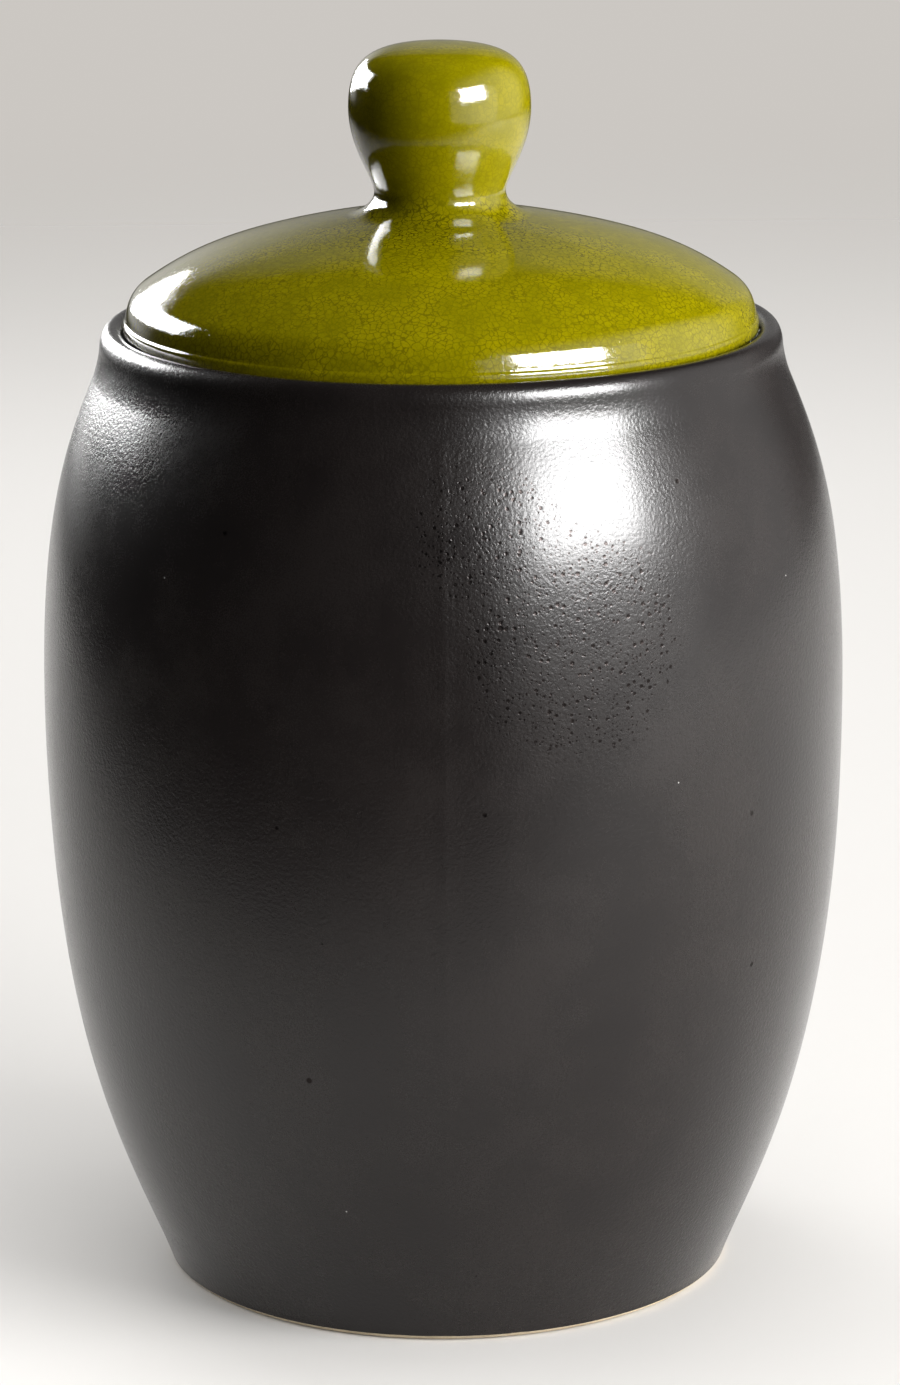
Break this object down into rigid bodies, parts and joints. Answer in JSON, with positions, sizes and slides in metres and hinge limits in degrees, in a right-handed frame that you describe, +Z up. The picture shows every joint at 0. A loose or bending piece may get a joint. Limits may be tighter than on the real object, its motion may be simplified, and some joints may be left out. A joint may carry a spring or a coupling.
{
  "type": "kitchen canister",
  "caption": "Bulbous glazed stoneware kitchen canister with a lift-off domed lid, knob cast in one with the lid, and a sealing ring.",
  "frame": {"origin": "centre of the foot, on the surface that the jar stands on", "axes": "+Z up along the axis of the jar, lid and knob"},
  "size_m": [0.18, 0.18, 0.2787],
  "materials": {
    "dark_glaze": "satin",
    "green_crackle_glaze": "gloss",
    "silicone": "matte"
  },
  "bodies": {
    "jar": {"jar": "dark_glaze"},
    "lid": {"lid": "green_crackle_glaze", "lid_seal": "silicone"}
  },
  "joints": [
    {"name": "lid_lift", "type": "slide", "parent": "jar", "child": "lid", "axis": [0, 0, 1], "range_m": [0, 0.15]}
  ]
}
